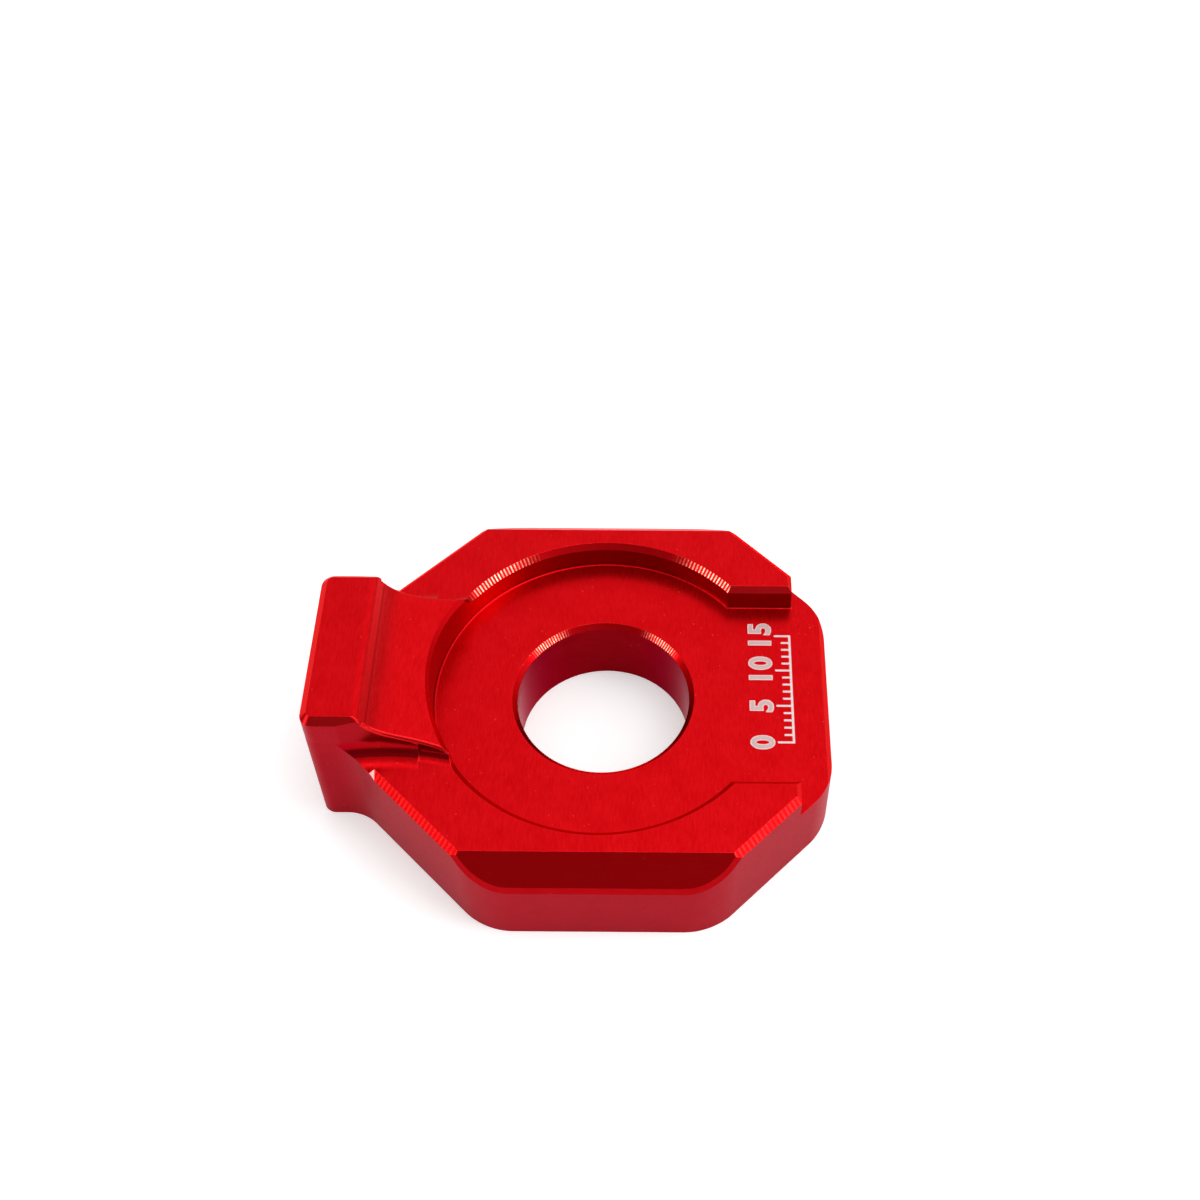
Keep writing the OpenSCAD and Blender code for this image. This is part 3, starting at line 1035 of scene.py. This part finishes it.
class MarkScale(bpy.types.Operator):
    """Marks a plain graduated scale on the floor beside the bore"""

    bl_idname = "axle_block.mark_scale"
    bl_label = "Mark the scale"

    def execute(self, context):
        scale, sizes, look = context.scene.block_scale, context.scene.block_sizes, context.scene.block_finish
        low, high = sizes.seat_z - scale.depth, sizes.seat_z + scale.depth
        corners = [(x, y, low) for x, y in comb_outline(scale)]
        piece = add_prism("graduated_scale", corners, (0, 0, high - low))
        line = etched(look, "laser_line", look.etch_edge)
        fill = etched(look, "laser_fill", look.etch)
        piece.data.materials.append(line)
        for step in range(0, scale.count + 1, NUMBERED):
            for weight, rise, material in (
                (scale.digit_weight + scale.outline, 0, line),
                (scale.digit_weight, scale.depth, fill),
            ):
                number = add_number(sizes, scale, step, weight, rise)
                number.data.materials.append(material)
                take(piece)
                number.select_set(True)
                bpy.ops.object.join()
        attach(piece, "root")
        return {"FINISHED"}


def comb_outline(scale):
    """The scale's line with its ticks, as one comb-shaped outline."""
    half, root_x = scale.line / 2, scale.foot_x - scale.line
    end_y = scale.start_y + scale.count * scale.pitch
    corners = [(scale.foot_x, scale.start_y - half), (scale.foot_x, end_y + half)]
    for step in range(scale.count, -1, -1):
        y = scale.start_y + step * scale.pitch
        tick = scale.short_tick if step % NUMBERED else scale.long_tick
        if step < scale.count:
            corners.append((root_x, y + half))
        corners += [(root_x - tick, y + half), (root_x - tick, y - half)]
        if step:
            corners.append((root_x, y - half))
    return corners


def add_number(sizes, scale, step, weight, rise):
    """Adds the number of one long tick, read from the plain end."""
    deselect()
    foot_x = scale.foot_x - scale.line - scale.long_tick - scale.gap
    bpy.ops.object.text_add(
        location=(foot_x, scale.start_y + step * scale.pitch, sizes.seat_z + rise),
        rotation=(0, 0, math.radians(90)),
    )
    text = bpy.context.object.data
    text.body = str(step)
    text.size, text.extrude, text.offset = scale.digit_size, scale.depth, weight
    text.align_x = "CENTER"
    text.space_character = 1.15
    text.resolution_u = 6
    bpy.ops.object.convert(target="MESH")
    number = named(f"number_{step}")
    edit_all()
    bpy.ops.mesh.remove_doubles(threshold=1e-6)
    face_outwards()
    return number


def etched(look, name, base):
    """Bare aluminium where the laser took the dye away, line by line."""
    turn_per_mm, wobble, line_depth = 24.0, 0.3, 0.000004
    material, tree, shader = new_material(name)
    place = place_in_mm(tree)
    across = worked_out(tree, "ADD", coordinate(tree, place, "X"), coordinate(tree, place, "Y"))
    wobbling = worked_out(tree, "MULTIPLY_ADD", grain(tree, place, 1.4), wobble, across)
    wave = worked_out(tree, "SINE", worked_out(tree, "MULTIPLY", wobbling, turn_per_mm))
    lines = spread(tree, wave, -0.9, 0.4)
    frost = grain(tree, place, 6.0, 3.0)
    share = worked_out(tree, "MULTIPLY", lines, spread(tree, frost, 0.2, 0.6, 0.72, 1.0))
    bump = add_node(tree, "Bump", {"Strength": 1.0, "Distance": line_depth, "Height": lines})
    sockets = {
        "Metallic": 0.35,
        "Base Color": blend(tree, share, look.etch_gap, base),
        "Roughness": spread(tree, frost, 0.3, 0.7, 0.5, 0.7),
        "Normal": bump.outputs["Normal"],
    }
    feed(tree, shader, sockets)
    return material


class SetStudio(bpy.types.Operator):
    """Sets the camera, the pale floor and the soft light"""

    bl_idname = "axle_block.set_studio"
    bl_label = "Set the studio"

    def execute(self, context):
        studio = context.scene.block_studio
        context.scene.camera = add_camera(studio)

        deselect()
        bpy.ops.mesh.primitive_plane_add(size=studio.floor_size)
        floor = named("floor")
        material, tree, shader = new_material("pale_floor")
        light_floor(tree, shader)
        floor.data.materials.append(material)

        world = bpy.data.worlds.new("studio_world")
        context.scene.world = world
        world.use_nodes = True
        light_world(world.node_tree)
        for name, toward, width, height, watts in (
            ("soft_lamp_left", (-0.83, -0.26, 0.49), 0.24, 0.24, studio.side_power),
            ("soft_lamp_right", (0.83, -0.30, 0.47), 0.24, 0.24, studio.side_power),
            ("soft_lamp_top", (0.36, -0.03, 0.93), 0.18, 0.54, studio.top_power),
        ):
            add_lamp(name, Vector(toward).normalized() * studio.lamp_distance, width, height, watts)
        context.scene.view_settings.view_transform = "Standard"
        return {"FINISHED"}


def add_camera(studio):
    """A camera that stands and looks as the photograph's did."""
    deselect()
    bpy.ops.object.camera_add()
    camera = bpy.context.object
    camera.name = "camera"
    camera.data.lens = studio.lens
    camera.data.clip_start = 0.01
    camera.data.shift_x, camera.data.shift_y = studio.shift
    yaw, pitch, roll = studio.yaw, studio.pitch, studio.roll
    forward = Vector((math.sin(yaw) * math.cos(pitch), math.cos(yaw) * math.cos(pitch), -math.sin(pitch)))
    right = Vector((math.cos(yaw), -math.sin(yaw), 0))
    up = right.cross(forward)
    leaned_right = math.cos(roll) * right + math.sin(roll) * up
    leaned_up = math.cos(roll) * up - math.sin(roll) * right
    turn = Matrix((leaned_right, leaned_up, -forward)).transposed().to_4x4()
    camera.matrix_world = Matrix.Translation(studio.place) @ turn
    return camera


def add_lamp(name, place, width, height, watts):
    """A soft lamp that shines on the block."""
    deselect()
    bpy.ops.object.light_add(type="AREA", location=place)
    lamp = bpy.context.object
    lamp.name = name
    lamp.rotation_euler = place.to_track_quat("Z", "Y").to_euler()
    lamp.data.shape = "RECTANGLE"
    lamp.data.size, lamp.data.size_y = width, height
    lamp.data.energy = watts


def light_floor(tree, shader):
    """A pale matte floor that keeps its shadows. To the camera and in the metal it is lifted to white."""
    near_m, far_m, near_lift, far_lift = 0.1, 0.6, 0.34, 0.60
    place = add_node(tree, "TexCoord").outputs["Object"]
    cloud = add_node(tree, "TexNoise", {"Vector": place, "Scale": 60.0, "Detail": 3.0}).outputs[0]
    path = add_node(tree, "LightPath")
    seen = path.outputs["Is Camera Ray"]
    for ray in ("Is Glossy Ray", "Is Transmission Ray"):
        seen = worked_out(tree, "MAXIMUM", seen, path.outputs[ray])
    away = vector_worked_out(tree, "LENGTH", place)
    lift = spread(tree, away, near_m, far_m, near_lift, far_lift)
    sockets = {
        "Roughness": 0.7,
        "Specular IOR Level": 0.2,
        "Base Color": blend(tree, cloud, (0.86, 0.85, 0.85), (0.90, 0.89, 0.89)),
        "Emission Color": (1, 1, 1, 1),
        "Emission Strength": worked_out(tree, "MULTIPLY", seen, lift),
    }
    feed(tree, shader, sockets)


def light_world(tree):
    """Soft studio light: bright above and behind the block, dim in front, white where the camera looks."""
    brightest, flag = Vector((0.5, 0.6, 0.62)).normalized(), (0.78, 0.62, 0.0)
    dim, bright, behind_flag = 0.27, 1.13, 0.6
    toward = add_node(tree, "TexCoord").outputs["Generated"]
    at_brightest = vector_worked_out(tree, "DOT_PRODUCT", toward, brightest)
    open_sky = spread(tree, at_brightest, -0.6, 1.3, dim, bright)
    # A flag low at the back, to the right, keeps some of the light off
    at_flag = vector_worked_out(tree, "DOT_PRODUCT", toward, flag)
    flagged = spread(tree, at_flag, 0.90, 0.98, 1.0, behind_flag)
    strength = worked_out(tree, "MULTIPLY", open_sky, flagged)
    seen = add_node(tree, "LightPath").outputs["Is Camera Ray"]
    mixed = add_node(tree, "Mix", {"Factor": seen, "A": strength, "B": 1.0}, data_type="FLOAT")
    feed(tree, tree.nodes["Background"], {"Color": (1, 1, 1, 1), "Strength": mixed.outputs["Result"]})


class BlockPanel(bpy.types.Panel):
    """Lists the steps that make the block"""

    bl_idname = "VIEW3D_PT_axle_block"
    bl_label = "Axle block"
    bl_space_type = "VIEW_3D"
    bl_region_type = "UI"
    bl_category = "Axle block"

    def draw(self, context):
        for operator in STEPS:
            self.layout.operator(operator.bl_idname)


STEPS = (SetStudio, MillBlock, MarkScale)
CLASSES = (BlockSizes, ScaleSizes, Finish, Studio, *STEPS, BlockPanel)


def register():
    """Registers the classes, and gives the scene its sizes and looks."""
    for cls in CLASSES:
        bpy.utils.register_class(cls)
    bpy.types.Scene.block_sizes = bpy.props.PointerProperty(type=BlockSizes)
    bpy.types.Scene.block_scale = bpy.props.PointerProperty(type=ScaleSizes)
    bpy.types.Scene.block_finish = bpy.props.PointerProperty(type=Finish)
    bpy.types.Scene.block_studio = bpy.props.PointerProperty(type=Studio)


def unregister():
    """Takes back what register() did."""
    del bpy.types.Scene.block_sizes, bpy.types.Scene.block_scale
    del bpy.types.Scene.block_finish, bpy.types.Scene.block_studio
    for cls in reversed(CLASSES):
        bpy.utils.unregister_class(cls)


def main():
    """Makes the scene."""
    register()
    bpy.ops.axle_block.set_studio()
    bpy.ops.axle_block.mill()
    bpy.ops.axle_block.mark_scale()


if __name__ == "__main__":
    main()
